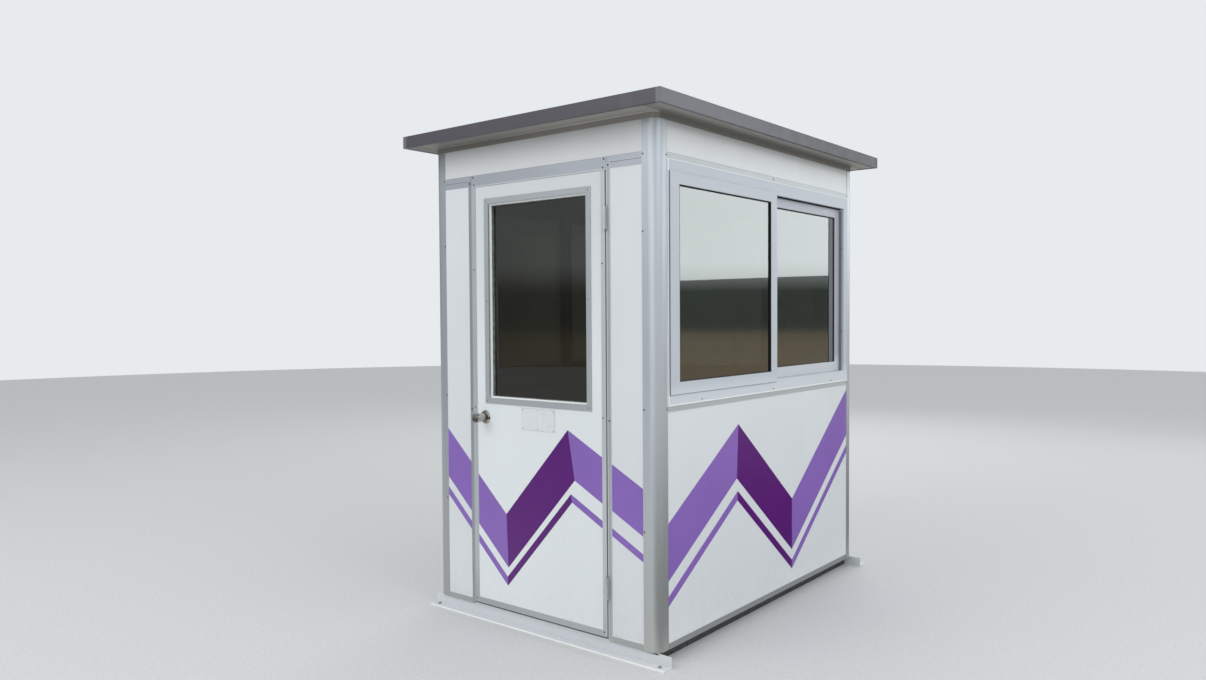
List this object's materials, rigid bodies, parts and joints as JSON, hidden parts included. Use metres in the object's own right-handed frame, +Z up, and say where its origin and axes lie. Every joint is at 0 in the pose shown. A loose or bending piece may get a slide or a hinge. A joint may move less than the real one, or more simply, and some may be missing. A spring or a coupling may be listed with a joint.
{
  "type": "security guard booth",
  "caption": "Free-standing security guard booth with white insulated panels, rounded aluminium corner posts, half-glazed door, sliding side windows and a flat overhanging roof",
  "frame": {"origin": "on the ground under the middle of the booth and its roof", "axes": "+Z up, door faces -Y, door hinges on the +X side"},
  "size_m": [1.5756, 2.2172, 2.384],
  "materials": {
    "white_panel": "semi-gloss white",
    "white_metal": "gloss white",
    "frame_aluminium": "satin anodised",
    "post_aluminium": "satin anodised",
    "window_aluminium": "satin anodised",
    "glazing_metal": "silver",
    "white_vinyl": "satin off-white",
    "fascia_metal": "satin dark bronze grey",
    "soffit_metal": "satin warm grey",
    "window_glass": "clear, slightly reflective",
    "hardware_steel": "satin stainless",
    "base_steel": "black",
    "floor_metal": "tread plate"
  },
  "bodies": {
    "booth": {"anchor_angles": "white_metal", "base_frame": "base_steel", "corner_posts": "post_aluminium", "crown_trim": "soffit_metal", "door_head": "frame_aluminium", "door_jambs": "frame_aluminium", "door_sill": "white_metal", "floor_plate": "floor_metal", "front_bottom_rails": "frame_aluminium", "front_header_rail": "frame_aluminium", "front_side_panels": "white_panel", "front_top_rails": "frame_aluminium", "hinge_frame_leaves": "hardware_steel", "left_glass_front": "window_glass", "left_glass_rear": "window_glass", "left_panel_lower": "white_panel", "left_rails": "frame_aluminium", "left_sash_front": "window_aluminium", "left_sash_rear": "window_aluminium", "left_window_frame": "window_aluminium", "rear_glass": "window_glass", "rear_panel_lower": "white_panel", "rear_rails": "frame_aluminium", "rear_window_frame": "window_aluminium", "right_glass_front": "window_glass", "right_glass_rear": "window_glass", "right_panel_lower": "white_panel", "right_rails": "frame_aluminium", "right_sash_front": "window_aluminium", "right_sash_rear": "window_aluminium", "right_window_frame": "window_aluminium", "roof_cap": "fascia_metal", "roof_panel": "white_panel", "roof_soffit": "soffit_metal", "top_panels": "white_panel"},
    "door": {"door_leaf": "white_panel", "door_edge_channel": "frame_aluminium", "door_glazing_outside": "glazing_metal", "door_glazing_inside": "glazing_metal", "door_glass": "window_glass", "door_bead": "white_vinyl", "door_roses": "hardware_steel", "hinge_door_leaves": "hardware_steel"},
    "knob": {"door_knobs": "hardware_steel"}
  },
  "joints": [
    {"name": "door_hinge", "type": "hinge", "parent": "booth", "child": "door", "pos_m": [0.4181, -1.0042, 1.05], "axis": [0, 0, 1], "range_deg": [0, 170]},
    {"name": "knob_turn", "type": "hinge", "parent": "door", "child": "knob", "pos_m": [-0.3326, -1, 0.987], "axis": [0, 1, 0], "range_deg": [-50, 50], "stiffness_Nm_per_rad": 0.3}
  ]
}
